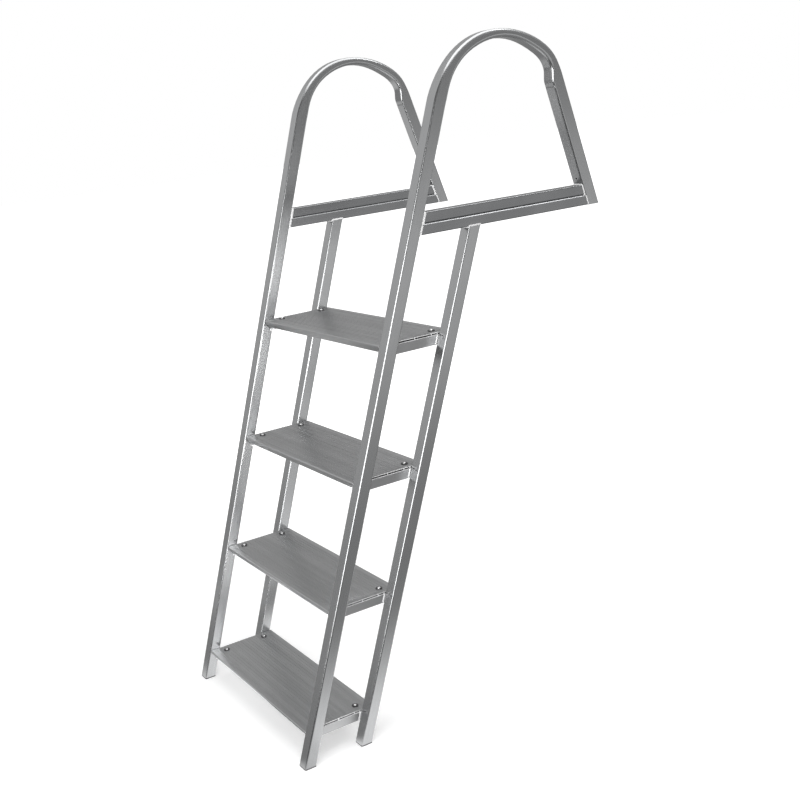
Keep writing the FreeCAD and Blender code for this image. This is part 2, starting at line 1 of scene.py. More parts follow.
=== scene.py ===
"""Looks of the dock ladder: metal finishes, weld beads, tread bolts, studio and camera."""
import logging
import math
from dataclasses import dataclass, field, replace
from enum import Enum
from functools import partial, reduce
from typing import Callable, Sequence

import bpy
from mathutils import Matrix, Vector


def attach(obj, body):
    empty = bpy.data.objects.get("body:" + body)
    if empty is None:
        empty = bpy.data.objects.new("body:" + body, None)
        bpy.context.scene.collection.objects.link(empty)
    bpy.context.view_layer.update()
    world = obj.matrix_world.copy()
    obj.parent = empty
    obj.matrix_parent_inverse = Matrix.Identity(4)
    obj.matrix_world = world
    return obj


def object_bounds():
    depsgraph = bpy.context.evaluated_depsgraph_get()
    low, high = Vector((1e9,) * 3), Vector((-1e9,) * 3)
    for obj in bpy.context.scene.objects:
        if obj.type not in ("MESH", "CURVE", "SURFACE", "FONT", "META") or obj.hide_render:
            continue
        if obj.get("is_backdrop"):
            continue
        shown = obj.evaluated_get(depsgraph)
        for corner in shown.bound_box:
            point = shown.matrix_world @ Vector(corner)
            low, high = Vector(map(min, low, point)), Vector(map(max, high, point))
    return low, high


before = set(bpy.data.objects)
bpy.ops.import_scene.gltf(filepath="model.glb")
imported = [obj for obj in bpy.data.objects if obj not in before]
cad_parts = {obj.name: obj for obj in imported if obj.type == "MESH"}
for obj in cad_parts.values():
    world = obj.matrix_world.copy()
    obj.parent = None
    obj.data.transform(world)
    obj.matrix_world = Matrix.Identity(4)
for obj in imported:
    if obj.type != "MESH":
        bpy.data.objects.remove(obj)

LOG = logging.getLogger("dock_ladder")
SOLIDS_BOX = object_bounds()
Point = tuple[float, float, float]
Colour = tuple[float, float, float]
Pair = tuple[float, float]
Piece = bpy.types.Object
Socket = bpy.types.NodeSocket


@dataclass(frozen=True)
class LadderSizes:
    """Sizes of the solids in metres and radians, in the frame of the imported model."""

    lean: float = math.radians(18.0)
    leg_angle: float = math.radians(22.0)
    tube: float = 0.03175
    spread: float = 0.57785
    frame_depth: float = 0.2032
    front_face: float = -0.36748
    dock_height: float = 1.225
    first_step: float = 0.0845
    step_spacing: float = 0.3048
    treads: int = 4
    tread_thickness: float = 0.0068
    rail_height: float = 0.0476
    rail_groove: float = 0.0052
    support_leg: float = 0.022
    support_wall: float = 0.0032
    hoop_rise: float = 0.400
    hoop_radius: float = 0.180
    plug_lip: float = 0.003

    def front_line(self, height: float) -> float:
        """Place along Y of the stiles' front face at a height."""
        return self.front_face + height * math.tan(self.lean)

    def front_tube_back(self, height: float) -> float:
        """Place along Y of the front stile's rear face at a height."""
        return self.front_line(height) + self.tube / math.cos(self.lean)

    def rear_tube_front(self, height: float) -> float:
        """Place along Y of the rear stile's front face at a height."""
        return self.rear_line(height) - self.tube / math.cos(self.lean)

    def rear_line(self, height: float) -> float:
        """Place along Y of the stiles' rear face at a height."""
        return self.front_line(height) + self.frame_depth

    def hoop_centre(self) -> tuple[float, float]:
        """Place along Y and height of the middle of the hoop's bend.

        Returns:
            The place and the height.
        """
        height = self.hoop_rise - self.tube / 2 - self.hoop_radius
        reach = (self.tube / 2 + self.hoop_radius) / math.cos(self.lean)
        return self.front_line(height) + reach, height

    def leg_inside(self, height: float) -> float:
        """Place along Y of the rear leg's inner face at a height.

        Args:
            height: the height.

        Returns:
            The place.
        """
        centre_along, centre_up = self.hoop_centre()
        reach = (self.hoop_radius - self.tube / 2) / math.cos(self.leg_angle)
        return centre_along + reach + (centre_up - height) * math.tan(self.leg_angle)

    def step_top(self, step: int) -> float:
        """Height of the top of a tread, counted from the lowest."""
        return -self.dock_height + self.first_step + step * self.step_spacing


class Side(Enum):
    """The two side frames, each with the sign of the way from its tubes to the treads."""

    RIGHT = -1
    LEFT = 1

    @property
    def word(self) -> str:
        """The side as the solids' names have it."""
        return self.name.lower()

    def middle(self, sizes: LadderSizes) -> float:
        """Place along X of the middle of this side's tubes."""
        return 0.0 if self is Side.RIGHT else -sizes.spread

    def inner_face(self, sizes: LadderSizes) -> float:
        """Place along X of the tubes' faces that look at the treads."""
        return self.middle(sizes) + self.value * sizes.tube / 2


class Run(Enum):
    """The way that the fine drawn lines of an extruded piece follow."""

    BENT_TUBE = "bent tube"
    STILE = "stile"
    RAIL = "rail"
    TREAD = "tread"
    NONE = "none"


@dataclass(frozen=True)
class MetalFinish:
    """A bare or anodised metal surface."""

    name: str
    colour: Colour
    shade: Colour
    roughness: float
    roughness_spread: float
    run: Run
    depth: float
    line_scale: float = 500.0
    haze_scale: float = 7.0
    streaks: float = 0.35
    metallic: float = 1.0
    relief: float = 0.6


@dataclass(frozen=True)
class PlasticFinish:
    """A moulded plastic surface with a fine grain."""

    name: str
    colour: Colour
    shade: Colour
    roughness: float
    depth: float
    roughness_spread: float = 0.08
    grain_scale: float = 2500.0
    haze_scale: float = 60.0
    relief: float = 0.4


Finish = MetalFinish | PlasticFinish


@dataclass(frozen=True)
class SoftStep:
    """A soft step of a value: where it begins and ends, and the results before and after it."""

    start: float
    stop: float
    low: float | Socket = 0.0
    high: float | Socket = 1.0


class NodeBench:
    """Adds and joins the nodes of one shader tree."""

    SPACING = 180.0

    def __init__(self, tree: bpy.types.NodeTree) -> None:
        """Keeps the tree.

        Args:
            tree: the material, world or group that gets the nodes.
        """
        self.tree = tree
        self.column = 0

    @classmethod
    def of(cls, owner: bpy.types.Material | bpy.types.World) -> "NodeBench":
        """A bench for an owner whose tree is emptied first.

        Args:
            owner: the material or world.

        Returns:
            Its bench.
        """
        owner.use_nodes = True
        owner.node_tree.nodes.clear()
        return cls(owner.node_tree)

    def add(self, kind: str, **settings: object) -> bpy.types.Node:
        """Adds a node.

        Args:
            kind: the node's type name.
            settings: properties of the node.

        Returns:
            The new node.
        """
        node = self.tree.nodes.new(kind)
        for key, value in settings.items():
            setattr(node, key, value)
        self.column += 1
        node.location = (self.SPACING * self.column, 0.0)
        return node

    def join(self, source: Socket, target: Socket) -> None:
        """Links an output to an input."""
        self.tree.links.new(source, target)

    def feed(self, value: float | Socket, target: Socket) -> None:
        """Gives an input a number or an output.

        Args:
            value: the number or the output.
            target: the input.
        """
        if isinstance(value, (int, float)):
            target.default_value = float(value)
        else:
            self.join(value, target)

    def math(self, operation: str, *values: float | Socket) -> Socket:
        """Adds a Math node.

        Args:
            operation: the name of the operation.
            values: a number or an output for each input.

        Returns:
            The result's socket.
        """
        node = self.add("ShaderNodeMath", operation=operation)
        for value, target in zip(values, node.inputs):
            self.feed(value, target)
        return node.outputs[0]

    def product(self, *values: float | Socket) -> Socket:
        """Multiplies the values."""
        return reduce(partial(self.math, "MULTIPLY"), values)

    def total(self, *values: float | Socket) -> Socket:
        """Adds the values up."""
        return reduce(partial(self.math, "ADD"), values)

    def length(self, first: Socket, second: Socket) -> Socket:
        """The length of a line, from how far it reaches along two axes."""
        return self.math("SQRT", self.math("MULTIPLY_ADD", first, first, self.product(second, second)))

    def outside(self, value: Socket, low: float, high: float, stretch: float = 1.0) -> Socket:
        """How far a value lies outside a range.

        Args:
            value: what is read.
            low: the range's lower end.
            high: its upper end.
            stretch: what a distance below the range is multiplied by.

        Returns:
            The distance's socket.
        """
        under = self.math("MAXIMUM", self.math("SUBTRACT", low, value), 0.0)
        over = self.math("MAXIMUM", self.math("SUBTRACT", value, high), 0.0)
        return self.math("MULTIPLY_ADD", under, stretch, over)

    def ramp(self, value: Socket, step: SoftStep) -> Socket:
        """Turns a value into a soft step.

        Args:
            value: what is read.
            step: where the step lies and what it gives.

        Returns:
            The result's socket.
        """
        node = self.add("ShaderNodeMapRange", interpolation_type="SMOOTHSTEP")
        self.join(value, node.inputs["Value"])
        ends = {"From Min": step.start, "From Max": step.stop, "To Min": step.low, "To Max": step.high}
        for key, end in ends.items():
            self.feed(end, node.inputs[key])
        return node.outputs["Result"]

    def split(self, place: Socket) -> tuple[Socket, ...]:
        """The X, Y and Z of a place or a direction.

        Args:
            place: the place or direction.

        Returns:
            Their sockets.
        """
        parts = self.add("ShaderNodeSeparateXYZ")
        self.join(place, parts.inputs[0])
        return tuple(parts.outputs)


class Effects:
    """The node groups that several finishes share."""

    BROAD_LINES = (0.23, 1.0, 0.6)
    FINE_LINES = (1.0, 2.0, 0.4)
    ALONG_SCALE = 3.0
    CLOUD_DETAIL = 5.0
    CLOUD_ROUGHNESS = 0.62
    CLOUD_EDGE = SoftStep(0.32, 0.68)

    def __init__(self, sizes: LadderSizes) -> None:
        """Builds each group once.

        Args:
            sizes: the ladder's sizes, for the line that the bent tube follows.
        """
        self.sizes = sizes
        self.straight_lines = self._lines("drawn lines", lambda bench, deep, height: deep)
        self.bent_lines = self._lines("drawn lines round the hoop", self._hoop_distance)
        self.haze = self._haze()

    @staticmethod
    def _open_group(name: str, output: str) -> tuple[NodeBench, bpy.types.Node]:
        """Makes a group that gets a place and a scale and puts out one value.

        Args:
            name: the group's name.
            output: the value's name.

        Returns:
            The group's bench and its input node.
        """
        group = bpy.data.node_groups.new(name, "ShaderNodeTree")
        group.interface.new_socket("Vector", in_out="INPUT", socket_type="NodeSocketVector")
        group.interface.new_socket("Scale", in_out="INPUT", socket_type="NodeSocketFloat")
        group.interface.new_socket(output, in_out="OUTPUT", socket_type="NodeSocketFloat")
        bench = NodeBench(group)
        return bench, bench.add("NodeGroupInput")

    @staticmethod
    def _close_group(bench: NodeBench, value: Socket) -> bpy.types.NodeTree:
        """Puts out the group's value and gives the group."""
        bench.join(value, bench.add("NodeGroupOutput").inputs[0])
        return bench.tree

    def _lines(self, name: str, measure: Callable[[NodeBench, Socket, Socket], Socket]) -> bpy.types.NodeTree:
        """Makes a group of drawn lines of two widths that run along Z.

        Args:
            name: the group's name.
            measure: gets the bench, Y and Z, and gives what stays the same along a line.

        Returns:
            The group.
        """
        bench, given = self._open_group(name, "Lines")
        across, deep, height = bench.split(given.outputs["Vector"])
        scale = given.outputs["Scale"]
        values = ((across, scale), (measure(bench, deep, height), scale), (height, self.ALONG_SCALE))
        place = bench.add("ShaderNodeCombineXYZ")
        for (value, factor), target in zip(values, place.inputs):
            bench.join(bench.math("MULTIPLY", value, factor), target)
        lines = 0.0
        for size, detail, weight in (self.BROAD_LINES, self.FINE_LINES):
            noise = bench.add("ShaderNodeTexNoise", noise_dimensions="3D")
            noise.inputs["Scale"].default_value = size
            noise.inputs["Detail"].default_value = detail
            bench.join(place.outputs[0], noise.inputs["Vector"])
            lines = bench.math("MULTIPLY_ADD", noise.outputs["Fac"], weight, lines)
        return self._close_group(bench, lines)

    def _hoop_distance(self, bench: NodeBench, deep: Socket, height: Socket) -> Socket:
        """Distance from the hoop's middle, up the stile, round the hoop and down its leg.

        Args:
            bench: the group's bench.
            deep: a place's Y.
            height: its Z.

        Returns:
            The distance's socket.
        """
        centre_along, centre_up = self.sizes.hoop_centre()
        along = bench.math("SUBTRACT", deep, centre_along)
        up = bench.math("SUBTRACT", height, centre_up)

        def measure(along_share: float, up_share: float) -> Socket:
            """Distance from the hoop's middle in one direction."""
            return bench.math("MULTIPLY_ADD", along, along_share, bench.math("MULTIPLY", up, up_share))

        distance = bench.length(along, up)
        for angle, sign in ((self.sizes.lean, -1.0), (self.sizes.leg_angle, 1.0)):
            straight = measure(sign * math.cos(angle), math.sin(angle))
            below = bench.math("LESS_THAN", measure(-sign * math.sin(angle), math.cos(angle)), 0.0)
            beside = bench.math("GREATER_THAN", bench.math("MULTIPLY", along, sign), 0.0)
            mix = bench.add("ShaderNodeMix", data_type="FLOAT")
            bench.join(bench.product(below, beside), mix.inputs[0])
            bench.join(distance, mix.inputs[2])
            bench.join(straight, mix.inputs[3])
            distance = mix.outputs[0]
        return distance

    def _haze(self) -> bpy.types.NodeTree:
        """Soft clouds where the anodising or the handling differs.

        Returns:
            The group.
        """
        bench, given = self._open_group("soft haze", "Haze")
        cloud = bench.add("ShaderNodeTexNoise", noise_dimensions="3D")
        cloud.inputs["Detail"].default_value = self.CLOUD_DETAIL
        cloud.inputs["Roughness"].default_value = self.CLOUD_ROUGHNESS
        for label in ("Vector", "Scale"):
            bench.join(given.outputs[label], cloud.inputs[label])
        return self._close_group(bench, bench.ramp(cloud.outputs["Fac"], self.CLOUD_EDGE))


class FinishShop:
    """Turns finishes into materials, each made once."""

    LINE_EDGE = SoftStep(0.36, 0.64)

    def __init__(self, effects: Effects) -> None:
        """Keeps the shared effects.

        Args:
            effects: the node groups.
        """
        self.effects = effects
        self.made: dict[str, bpy.types.Material] = {}
        self.turns = {
            Run.STILE: (effects.sizes.lean, 0.0, 0.0),
            Run.RAIL: (math.radians(90.0), 0.0, 0.0),
            Run.TREAD: (0.0, math.radians(90.0), 0.0),
            Run.NONE: (0.0, 0.0, 0.0),
        }

    def material(self, finish: Finish) -> bpy.types.Material:
        """The material of a finish.

        Args:
            finish: what the surface is like.

        Returns:
            The material, built on the first call.
        """
        if finish.name not in self.made:
            build = self._metal if isinstance(finish, MetalFinish) else self._plastic
            self.made[finish.name] = build(finish)
            LOG.info("finish %s", finish.name)
        return self.made[finish.name]

    @staticmethod
    def _start(name: str) -> tuple[bpy.types.Material, NodeBench, bpy.types.Node, Socket]:
        """Makes a material with its shader and its place input.

        Args:
            name: the material's name.

        Returns:
            The material, its bench, its Principled node and the object place.
        """
        material = bpy.data.materials.new(name)
        bench = NodeBench.of(material)
        place = bench.add("ShaderNodeTexCoord")
        shader = bench.add("ShaderNodeBsdfPrincipled")
        result = bench.add("ShaderNodeOutputMaterial")
        bench.join(shader.outputs["BSDF"], result.inputs["Surface"])
        return material, bench, shader, place.outputs["Object"]

    @staticmethod
    def _effect(bench: NodeBench, tree: bpy.types.NodeTree, place: Socket, scale: float) -> Socket:
        """Adds one of the shared groups.

        Args:
            bench: the material's bench.
            tree: the group.
            place: the place that it reads.
            scale: how fine it is.

        Returns:
            Its value's socket.
        """
        node = bench.add("ShaderNodeGroup", node_tree=tree)
        node.inputs["Scale"].default_value = scale
        bench.join(place, node.inputs["Vector"])
        return node.outputs[0]

    @staticmethod
    def _surface(
        bench: NodeBench, shader: bpy.types.Node, finish: Finish, mask: Socket, gloss: Socket, height: Socket
    ) -> None:
        """Feeds the shader its colour, roughness and relief.

        Args:
            bench: the material's bench.
            shader: its Principled node.
            finish: what the surface is like.
            mask: how much of the finish's shade shows.
            gloss: what the roughness follows, from 0 to 1.
            height: what the relief follows.
        """
        mix = bench.add("ShaderNodeMix", data_type="RGBA")
        mix.inputs["A"].default_value = (*finish.colour, 1.0)
        mix.inputs["B"].default_value = (*finish.shade, 1.0)
        bench.join(mask, mix.inputs[0])
        bench.join(mix.outputs["Result"], shader.inputs["Base Color"])
        rough = bench.add("ShaderNodeMapRange")
        rough.inputs["To Min"].default_value = finish.roughness - finish.roughness_spread
        rough.inputs["To Max"].default_value = finish.roughness + finish.roughness_spread
        bench.join(gloss, rough.inputs["Value"])
        bench.join(rough.outputs["Result"], shader.inputs["Roughness"])
        bump = bench.add("ShaderNodeBump")
        bump.inputs["Strength"].default_value = finish.relief
        bump.inputs["Distance"].default_value = finish.depth
        bench.join(height, bump.inputs["Height"])
        bench.join(bump.outputs["Normal"], shader.inputs["Normal"])

    def _metal(self, finish: MetalFinish) -> bpy.types.Material:
        """Builds a metal: lines in its relief, lines and haze in its colour and gloss.

        Args:
            finish: what the metal is like.

        Returns:
            The material.
        """
        material, bench, shader, place = self._start(finish.name)
        shader.inputs["Metallic"].default_value = finish.metallic
        haze = self._effect(bench, self.effects.haze, place, finish.haze_scale)
        if finish.run is Run.BENT_TUBE:
            lines = self._effect(bench, self.effects.bent_lines, place, finish.line_scale)
        else:
            turned = bench.add("ShaderNodeMapping", vector_type="POINT")
            turned.inputs["Rotation"].default_value = self.turns[finish.run]
            bench.join(place, turned.inputs["Vector"])
            lines = self._effect(
                bench, self.effects.straight_lines, turned.outputs["Vector"], finish.line_scale
            )
        worn = bench.math("MULTIPLY", haze, 1.0 - finish.streaks)
        mask = bench.math("MULTIPLY_ADD", bench.ramp(lines, self.LINE_EDGE), finish.streaks, worn)
        gloss = bench.math("MULTIPLY_ADD", lines, 0.5, bench.math("MULTIPLY", haze, 0.5))
        self._surface(bench, shader, finish, mask, gloss, lines)
        return material

    def _plastic(self, finish: PlasticFinish) -> bpy.types.Material:
        """Builds a moulded plastic: fine grain and faint clouds.

        Args:
            finish: what the plastic is like.

        Returns:
            The material.
        """
        material, bench, shader, place = self._start(finish.name)
        haze = self._effect(bench, self.effects.haze, place, finish.haze_scale)
        grain = bench.add("ShaderNodeTexNoise", noise_dimensions="3D")
        grain.inputs["Scale"].default_value = finish.grain_scale
        bench.join(place, grain.inputs["Vector"])
        self._surface(bench, shader, finish, haze, grain.outputs["Fac"], grain.outputs["Fac"])
        return material


TUBE_FINISH = MetalFinish(
    "satin_tube", colour=(0.44, 0.445, 0.45), shade=(0.41, 0.415, 0.42),
    roughness=0.24, roughness_spread=0.03, run=Run.BENT_TUBE, depth=0.000004,
)
STILE_FINISH = replace(TUBE_FINISH, name="satin_stile", run=Run.STILE)
# The rail's colour, darker than the tubes' satin metal, is painted shade.
RAIL_SHADE_FINISH = MetalFinish(
    "satin_rail_painted_shade", colour=(0.29, 0.294, 0.30), shade=(0.26, 0.264, 0.27),
    roughness=0.26, roughness_spread=0.03, run=Run.RAIL, depth=0.000004,
)
TREAD_FINISH = MetalFinish(
    "ribbed_tread", colour=(0.52, 0.523, 0.527), shade=(0.44, 0.443, 0.447),
    roughness=0.34, roughness_spread=0.04, run=Run.TREAD, depth=0.000003,
    line_scale=260.0, haze_scale=9.0, streaks=0.8,
)
SUPPORT_FINISH = MetalFinish(
    "angle_bar", colour=(0.45, 0.453, 0.457), shade=(0.41, 0.413, 0.417),
    roughness=0.44, roughness_spread=0.04, run=Run.RAIL, depth=0.000006,
)
# Near-white sawn faces: partly bare cut metal, partly painted highlight on the bars' top edges and the tread
# ends.
CUT_HIGHLIGHT_FINISH = MetalFinish(
    "saw_cut_painted_highlight", colour=(0.92, 0.92, 0.925), shade=(0.80, 0.80, 0.805),
    roughness=0.40, roughness_spread=0.05, run=Run.NONE, depth=0.000004, metallic=0.5,
)
WELD_FINISH = MetalFinish(
    "weld_metal", colour=(0.95, 0.95, 0.95), shade=(0.86, 0.86, 0.865),
    roughness=0.40, roughness_spread=0.08, run=Run.NONE, depth=0.00001,
    line_scale=1400.0, haze_scale=300.0, metallic=0.4,
)
BOLT_FINISH = MetalFinish(
    "bolt_steel", colour=(0.72, 0.72, 0.72), shade=(0.64, 0.64, 0.65),
    roughness=0.13, roughness_spread=0.03, run=Run.NONE, depth=0.000002,
    line_scale=700.0, haze_scale=120.0,
)
# Near-black washers: painted shade, the dark ring that shows round each bolt dome.
WASHER_SHADE_FINISH = PlasticFinish(
    "washer_painted_shade", colour=(0.03, 0.03, 0.032), shade=(0.045, 0.045, 0.047), roughness=0.45, depth=0.00002
)
PLUG_FINISH = PlasticFinish(
    "foot_plug_plastic", colour=(0.035, 0.035, 0.038), shade=(0.055, 0.055, 0.058),
    roughness=0.55, depth=0.00004,
)


class Workbench:
    """Edit-mode steps that the pieces share."""

    ALIGNED = 0.9
    TOUCH = 1e-5

    @staticmethod
    def clear() -> None:
        """Leaves nothing selected."""
        if bpy.context.object and bpy.context.object.mode != "OBJECT":
            bpy.ops.object.mode_set(mode="OBJECT")
        bpy.ops.object.select_all(action="DESELECT")

    @staticmethod
    def pick(piece: Piece, kind: str, test: Callable[[Vector, Vector], bool]) -> None:
        """Enters edit mode and selects parts of a mesh by place and normal.

        Args:
            piece: the active object.
            kind: VERT, EDGE or FACE.
            test: gets a part's middle and its normal, or an edge's direction.
        """
        bpy.ops.object.mode_set(mode="EDIT")
        bpy.ops.mesh.select_all(action="DESELECT")
        bpy.ops.mesh.select_mode(type=kind)
        bpy.ops.object.mode_set(mode="OBJECT")
        mesh = piece.data
        if kind == "VERT":
            for vertex in mesh.vertices:
                vertex.select = test(vertex.co, vertex.normal)
        elif kind == "EDGE":
            for edge in mesh.edges:
                start, end = (mesh.vertices[index].co for index in edge.vertices)
                edge.select = test((start + end) / 2, (end - start).normalized())
        else:
            for face in mesh.polygons:
                face.select = test(face.center, face.normal)
        bpy.ops.object.mode_set(mode="EDIT")

    @staticmethod
    def place(piece: Piece, matrix: Matrix) -> None:
        """Moves the piece's mesh and leaves its object at the origin.

        Args:
            piece: the object.
            matrix: its turn and place.
        """
        Workbench.clear()
        piece.matrix_world = matrix
        piece.select_set(True)
        bpy.context.view_layer.objects.active = piece
        bpy.ops.object.transform_apply(location=True, rotation=True, scale=True)

    @staticmethod
    def copy(piece: Piece, name: str) -> Piece:
        """A copy with its own mesh.

        Args:
            piece: what is copied.
            name: the copy's name.

        Returns:
            The copy.
        """
        twin = piece.copy()
        twin.data = piece.data.copy()
        twin.name = name
        bpy.context.scene.collection.objects.link(twin)
        return twin

    @staticmethod
    def merge(parts: Sequence[Piece], name: str) -> Piece:
        """Joins objects into one piece.

        Args:
            parts: the objects, of which the first keeps its place.
            name: the piece's name.

        Returns:
            The joined piece.
        """
        Workbench.clear()
        for part in parts:
            part.select_set(True)
        bpy.context.view_layer.objects.active = parts[0]
        bpy.ops.object.join()
        piece = bpy.context.object
        piece.name = name
        piece.data.name = name
        return piece

    @staticmethod
    def cylinder(sides: int, radius: float, low: float, height: float) -> Piece:
        """A cylinder along Z, with its object at the origin.

        Args:
            sides: how many flats it has round it.
            radius: its radius.
            low: height of its underside.
            height: its length.

        Returns:
            The cylinder.
        """
        Workbench.clear()
        bpy.ops.mesh.primitive_cylinder_add(vertices=sides, radius=radius, depth=height)
        piece = bpy.context.object
        Workbench.place(piece, Matrix.Translation((0.0, 0.0, low + height / 2)))
        return piece

    @staticmethod
    def smooth(degrees: float) -> None:
        """Leaves edit mode and shades the edges that turn by less than an angle smooth."""
        bpy.ops.object.mode_set(mode="OBJECT")
        bpy.ops.object.shade_smooth_by_angle(angle=math.radians(degrees))

    @staticmethod
    def fit(piece: Piece, material: bpy.types.Material, slot: str) -> None:
        """Gives a piece its finish and its body.

        Args:
            piece: the finished piece.
            material: its material.
            slot: the record's material slot, not used.
        """
        piece.data.materials.clear()
        piece.data.materials.append(material)
        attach(piece, "root")
        LOG.info("piece %s: %d faces", piece.name, len(piece.data.polygons))


@dataclass(frozen=True)
class Seam:
    """One run of weld metal: its ends, the way it faces and how wide and how proud it is."""

    start: Point
    end: Point
    outward: Point
    half_width: float
    rise: float

    def frame(self) -> Matrix:
        """The turn and place of a bead that is made along Z with its crown toward Y.

        Returns:
            The matrix.
        """
        begin, stop = Vector(self.start), Vector(self.end)
        along = (stop - begin).normalized()
        across = Vector(self.outward).cross(along).normalized()
        crown = along.cross(across)
        turn = Matrix((across, crown, along)).transposed().to_4x4()
        return Matrix.Translation((begin + stop) / 2) @ turn


@dataclass
class WeldBeads:
    """Rippled weld beads where tubes, rails and angle bars meet.

    A field whose name ends in bead gives a half width and a rise, and one that ends in width
    only the half width. A shift says how far a bead's middle lies from the corner that it fills.
    """

    sizes: LadderSizes
    shop: FinishShop
    ripple: float = 0.0026
    sides: int = 12
    ripple_depth: float = 0.88
    end_taper: float = 0.60
    side_inset: float = 0.0026
    front_low_width: float = 0.0042
    front_high_width: float = 0.0054
    front_shift_share: float = 0.3
    front_bead: Pair = (0.0030, 0.0022)
    front_shift: float = 0.0004
    rear_width: float = 0.0032
    rear_split: float = 0.46
    rear_high_shift: float = -0.0012
    rear_low_shift: float = 0.0016
    rear_start: float = 0.001
    rear_bead: Pair = (0.0032, 0.0024)
    rear_shift: float = -0.0006
    top_width: float = 0.0038
    top_overlap: float = 0.001
    top_bead: Pair = (0.0028, 0.0022)
    top_offset: float = 0.0012
    bar_bead: Pair = (0.0038, 0.0030)
    bar_inset: float = 0.0016
    bar_shift: float = 0.0008
    bar_overlap: float = 0.0005
    end_bead: Pair = (0.0036, 0.0030)
    end_inset: float = 0.0022
    end_run: tuple[Pair, Pair] = ((0.0145, 0.0010), (0.0220, -0.0012))
    tack_bead: Pair = (0.0026, 0.0022)
    tack_run: Pair = (0.006, 0.028)
    tack_along: float = 0.0105
    tack_drop: float = 0.0192

    def bead(self, seam: Seam) -> Piece:
        """A straight bead whose surface rises and falls with each drop of metal.

        Args:
            seam: where the bead runs and how big it is.

        Returns:
            The bead, in its place.
        """
        length = (Vector(seam.end) - Vector(seam.start)).length
        ripples = max(2, round(length / self.ripple))
        Workbench.clear()
        bpy.ops.mesh.primitive_cylinder_add(
            vertices=self.sides, radius=seam.half_width, depth=length, end_fill_type="TRIFAN"
        )
        piece = bpy.context.object
        Workbench.pick(piece, "EDGE", lambda middle, way: abs(way.z) > Workbench.ALIGNED)
        bpy.ops.mesh.subdivide(number_cuts=2 * ripples - 1)
        step = length / (2 * ripples)
        Workbench.pick(piece, "VERT", lambda place, _: round((place.z + length / 2) / step) % 2 == 0)
        bpy.ops.transform.resize(value=(self.ripple_depth, self.ripple_depth, 1.0))
        Workbench.pick(piece, "VERT", lambda place, _: abs(place.z) > length / 2 - step / 2)
        bpy.ops.transform.resize(value=(self.end_taper, self.end_taper, 1.0))
        bpy.ops.mesh.select_all(action="SELECT")
        bpy.ops.transform.resize(value=(1.0, seam.rise / seam.half_width, 1.0))
        bpy.ops.object.mode_set(mode="OBJECT")
        smooth = piece.modifiers.new("round", "SUBSURF")
        smooth.levels = 1
        smooth.render_levels = 1
        bpy.ops.object.modifier_apply(modifier=smooth.name)
        bpy.ops.object.shade_smooth()
        Workbench.place(piece, seam.frame())
        return piece

    def on_side(self, side: Side, sign: int, start: Pair, end: Pair, half_width: float) -> Seam:
        """A seam on one side of a tube, with its crown flush with the tube's face.

        Args:
            side: the frame that the tube is in.
            sign: 1 for the tube's face toward +X, -1 for the other.
            start: place along Y and height of one end.
            end: place along Y and height of the other.
            half_width: half its width.

        Returns:
            The seam.
        """
        across = side.middle(self.sizes) + sign * (self.sizes.tube / 2 - self.side_inset)
        return Seam((across, *start), (across, *end), (sign, 0.0, 0.0), half_width, self.side_inset)

    def across_tube(self, side: Side, place: Pair, outward: Point, bead: Pair) -> Seam:
        """A level seam from one side of a tube to the other.

        Args:
            side: the frame that the tube is in.
            place: its place along Y and its height.
            outward: the way that it faces.
            bead: its half width and its rise.

        Returns:
            The seam.
        """
        middle = side.middle(self.sizes)
        reach = self.sizes.tube / 2 - self.side_inset
        return Seam((middle - reach, *place), (middle + reach, *place), outward, *bead)

    def rail_front(self, side: Side) -> list[Seam]:
        """Seams round the rail's end on the front stile, wider above the groove.

        Args:
            side: the frame.

        Returns:
            The seams.
        """
        line, high = self.sizes.front_tube_back, self.sizes.rail_height
        groove = (high - self.sizes.rail_groove) / 2
        seams = []
        for sign in (-1, 1):
            for start, stop, width in (
                (0.0, groove, self.front_low_width), (groove, high, self.front_high_width)
            ):
                shift = width * self.front_shift_share
                ends = (line(start) + shift, start), (line(stop) + shift, stop)
                seams.append(self.on_side(side, sign, *ends, width))
        for height, way in ((0.0, -1.0), (high, 1.0)):
            place = (line(height) + self.front_shift, height)
            seams.append(self.across_tube(side, place, (0.0, 0.5, way), self.front_bead))
        return seams

    def rail_rear(self, side: Side) -> list[Seam]:
        """Seams round the rail's end on the rear leg of the hoop, in two runs on each side.

        Args:
            side: the frame.

        Returns:
            The seams.
        """
        line, high = self.sizes.leg_inside, self.sizes.rail_height
        half = high * self.rear_split
        seams = []
        for sign in (-1, 1):
            for start, stop, shift in (
                (half, high, self.rear_high_shift), (self.rear_start, half, self.rear_low_shift)
            ):
                ends = (line(start) + shift, start), (line(stop) + shift, stop)
                seams.append(self.on_side(side, sign, *ends, self.rear_width))
        place = (line(high) + self.rear_shift, high)
        seams.append(self.across_tube(side, place, (0.0, -0.5, 1.0), self.rear_bead))
        return seams

    def stile_top(self, side: Side) -> list[Seam]:
        """Seams round the rear stile's top under the rail.

        Args:
            side: the frame.

        Returns:
            The seams.
        """
        front, back = self.sizes.rear_tube_front(0.0), self.sizes.rear_line(0.0)
        seams = [
            self.across_tube(side, (along, -self.top_offset), (0.0, way, -0.6), self.top_bead)
            for along, way in ((front, -1.0), (back, 1.0))
        ]
        ends = (front - self.top_overlap, self.top_offset), (back + self.top_overlap, self.top_offset)
        return seams + [self.on_side(side, sign, *ends, self.top_width) for sign in (-1, 1)]

